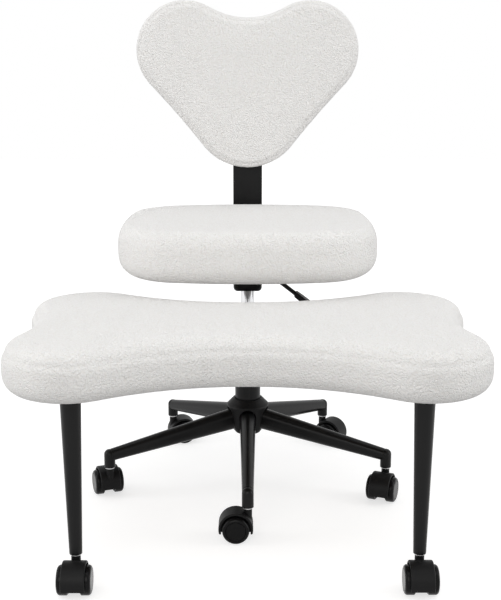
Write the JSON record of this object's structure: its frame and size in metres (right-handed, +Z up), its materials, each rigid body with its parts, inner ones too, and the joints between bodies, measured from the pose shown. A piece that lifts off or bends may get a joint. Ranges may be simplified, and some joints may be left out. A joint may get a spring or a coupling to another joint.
{
  "type": "cross-legged office chair",
  "caption": "Armless swivel chair with a padded seat and heart-shaped back on a gas lift, a star caster base, and a lobed padded platform that swings round the column on caster legs.",
  "frame": {"origin": "on the floor, on the axis of the column", "axes": "+Z up, +Y towards the back of the chair, +X to the right of someone facing the chair"},
  "size_m": [0.7944, 0.8533, 0.9836],
  "materials": {
    "boucle": "matte",
    "plywood": "matte",
    "bright_chrome": "polished",
    "black_plastic": "satin",
    "black_nylon": "satin",
    "zinc_steel": "satin",
    "black_steel": "satin"
  },
  "bodies": {
    "base": {"base_hub": "black_steel", "hub_cover": "black_plastic", "base_caster_stems": "zinc_steel", "column_tube": "black_steel", "guide_bush": "black_plastic", "thrust_bearing": "zinc_steel", "stop_collar": "black_steel", "base_arm_1": "black_steel", "base_arm_2": "black_steel", "base_arm_3": "black_steel", "base_arm_4": "black_steel", "base_arm_5": "black_steel"},
    "lift_rod": {"piston_rod": "zinc_steel", "rod_clip": "zinc_steel"},
    "seat": {"gas_cylinder": "bright_chrome", "cone_socket": "zinc_steel", "lift_housing": "black_steel", "seat_plate": "black_steel", "lever_pin": "zinc_steel", "seat_board": "plywood", "seat_cushion": "boucle", "seat_bolts": "zinc_steel", "back_bar": "black_steel", "back_board": "plywood", "back_cushion": "boucle", "back_bolts": "zinc_steel"},
    "lever": {"lever_rod": "black_steel", "lever_paddle": "black_plastic"},
    "valve": {"valve_pin": "zinc_steel"},
    "platform": {"platform_board": "plywood", "platform_cushion": "boucle", "platform_bracket": "black_steel", "swing_arm": "black_steel", "swing_ring": "black_steel", "ring_bush": "black_plastic", "platform_leg_left": "black_steel", "platform_leg_right": "black_steel", "platform_bolts": "zinc_steel", "platform_caster_stems": "zinc_steel"},
    "base_caster_1": {"base_caster_1_hood": "black_plastic"},
    "base_caster_1_roll": {"base_caster_1_wheels": "black_nylon", "base_caster_1_axle": "zinc_steel"},
    "base_caster_2": {"base_caster_2_hood": "black_plastic"},
    "base_caster_2_roll": {"base_caster_2_wheels": "black_nylon", "base_caster_2_axle": "zinc_steel"},
    "base_caster_3": {"base_caster_3_hood": "black_plastic"},
    "base_caster_3_roll": {"base_caster_3_wheels": "black_nylon", "base_caster_3_axle": "zinc_steel"},
    "base_caster_4": {"base_caster_4_hood": "black_plastic"},
    "base_caster_4_roll": {"base_caster_4_wheels": "black_nylon", "base_caster_4_axle": "zinc_steel"},
    "base_caster_5": {"base_caster_5_hood": "black_plastic"},
    "base_caster_5_roll": {"base_caster_5_wheels": "black_nylon", "base_caster_5_axle": "zinc_steel"},
    "platform_caster_left": {"platform_caster_left_hood": "black_plastic"},
    "platform_caster_left_roll": {"platform_caster_left_wheels": "black_nylon", "platform_caster_left_axle": "zinc_steel"},
    "platform_caster_right": {"platform_caster_right_hood": "black_plastic"},
    "platform_caster_right_roll": {"platform_caster_right_wheels": "black_nylon", "platform_caster_right_axle": "zinc_steel"}
  },
  "joints": [
    {"name": "seat_swivel", "type": "hinge", "parent": "base", "child": "lift_rod", "pos_m": [0, 0, 0.12], "axis": [0, 0, 1], "continuous": true},
    {"name": "seat_lift", "type": "slide", "parent": "lift_rod", "child": "seat", "axis": [0, 0, 1], "range_m": [-0.015, 0.085]},
    {"name": "height_lever", "type": "hinge", "parent": "seat", "child": "lever", "pos_m": [0.0195, 0, 0.4445], "axis": [0, -1, 0], "range_deg": [0, 7], "stiffness_Nm_per_rad": 2},
    {"name": "valve_press", "type": "slide", "parent": "seat", "child": "valve", "axis": [0, 0, -1], "range_m": [0, 0.003]},
    {"name": "platform_swing", "type": "hinge", "parent": "base", "child": "platform", "pos_m": [0, 0, 0.32], "axis": [0, 0, 1], "continuous": true},
    {"name": "base_caster_1_swivel", "type": "hinge", "parent": "base", "child": "base_caster_1", "pos_m": [0, -0.292, 0.05], "axis": [0, 0, 1], "continuous": true},
    {"name": "base_caster_1_spin", "type": "hinge", "parent": "base_caster_1", "child": "base_caster_1_roll", "pos_m": [-0.022, -0.292, 0.025], "axis": [0, -1, 0], "continuous": true},
    {"name": "base_caster_2_swivel", "type": "hinge", "parent": "base", "child": "base_caster_2", "pos_m": [0.27771, -0.09023, 0.05], "axis": [0, 0, 1], "continuous": true},
    {"name": "base_caster_2_spin", "type": "hinge", "parent": "base_caster_2", "child": "base_caster_2_roll", "pos_m": [0.26947, -0.11063, 0.025], "axis": [0.9272, -0.3746, 0], "continuous": true},
    {"name": "base_caster_3_swivel", "type": "hinge", "parent": "base", "child": "base_caster_3", "pos_m": [0.17163, 0.23623, 0.05], "axis": [0, 0, 1], "continuous": true},
    {"name": "base_caster_3_spin", "type": "hinge", "parent": "base_caster_3", "child": "base_caster_3_roll", "pos_m": [0.19069, 0.22523, 0.025], "axis": [0.5, 0.866, 0], "continuous": true},
    {"name": "base_caster_4_swivel", "type": "hinge", "parent": "base", "child": "base_caster_4", "pos_m": [-0.17163, 0.23623, 0.05], "axis": [0, 0, 1], "continuous": true},
    {"name": "base_caster_4_spin", "type": "hinge", "parent": "base_caster_4", "child": "base_caster_4_roll", "pos_m": [-0.15038, 0.24193, 0.025], "axis": [-0.2588, 0.9659, 0], "continuous": true},
    {"name": "base_caster_5_swivel", "type": "hinge", "parent": "base", "child": "base_caster_5", "pos_m": [-0.27771, -0.09023, 0.05], "axis": [0, 0, 1], "continuous": true},
    {"name": "base_caster_5_spin", "type": "hinge", "parent": "base_caster_5", "child": "base_caster_5_roll", "pos_m": [-0.28523, -0.06956, 0.025], "axis": [-0.9397, -0.342, 0], "continuous": true},
    {"name": "platform_caster_left_swivel", "type": "hinge", "parent": "platform", "child": "platform_caster_left", "pos_m": [-0.287, -0.484, 0.05], "axis": [0, 0, 1], "continuous": true},
    {"name": "platform_caster_left_spin", "type": "hinge", "parent": "platform_caster_left", "child": "platform_caster_left_roll", "pos_m": [-0.287, -0.506, 0.025], "axis": [1, 0, 0], "continuous": true},
    {"name": "platform_caster_right_swivel", "type": "hinge", "parent": "platform", "child": "platform_caster_right", "pos_m": [0.287, -0.484, 0.05], "axis": [0, 0, 1], "continuous": true},
    {"name": "platform_caster_right_spin", "type": "hinge", "parent": "platform_caster_right", "child": "platform_caster_right_roll", "pos_m": [0.287, -0.506, 0.025], "axis": [1, 0, 0], "continuous": true}
  ],
  "couplings": [
    {"joint": "valve_press", "follows": "height_lever", "m_per_rad": 0.0225}
  ]
}
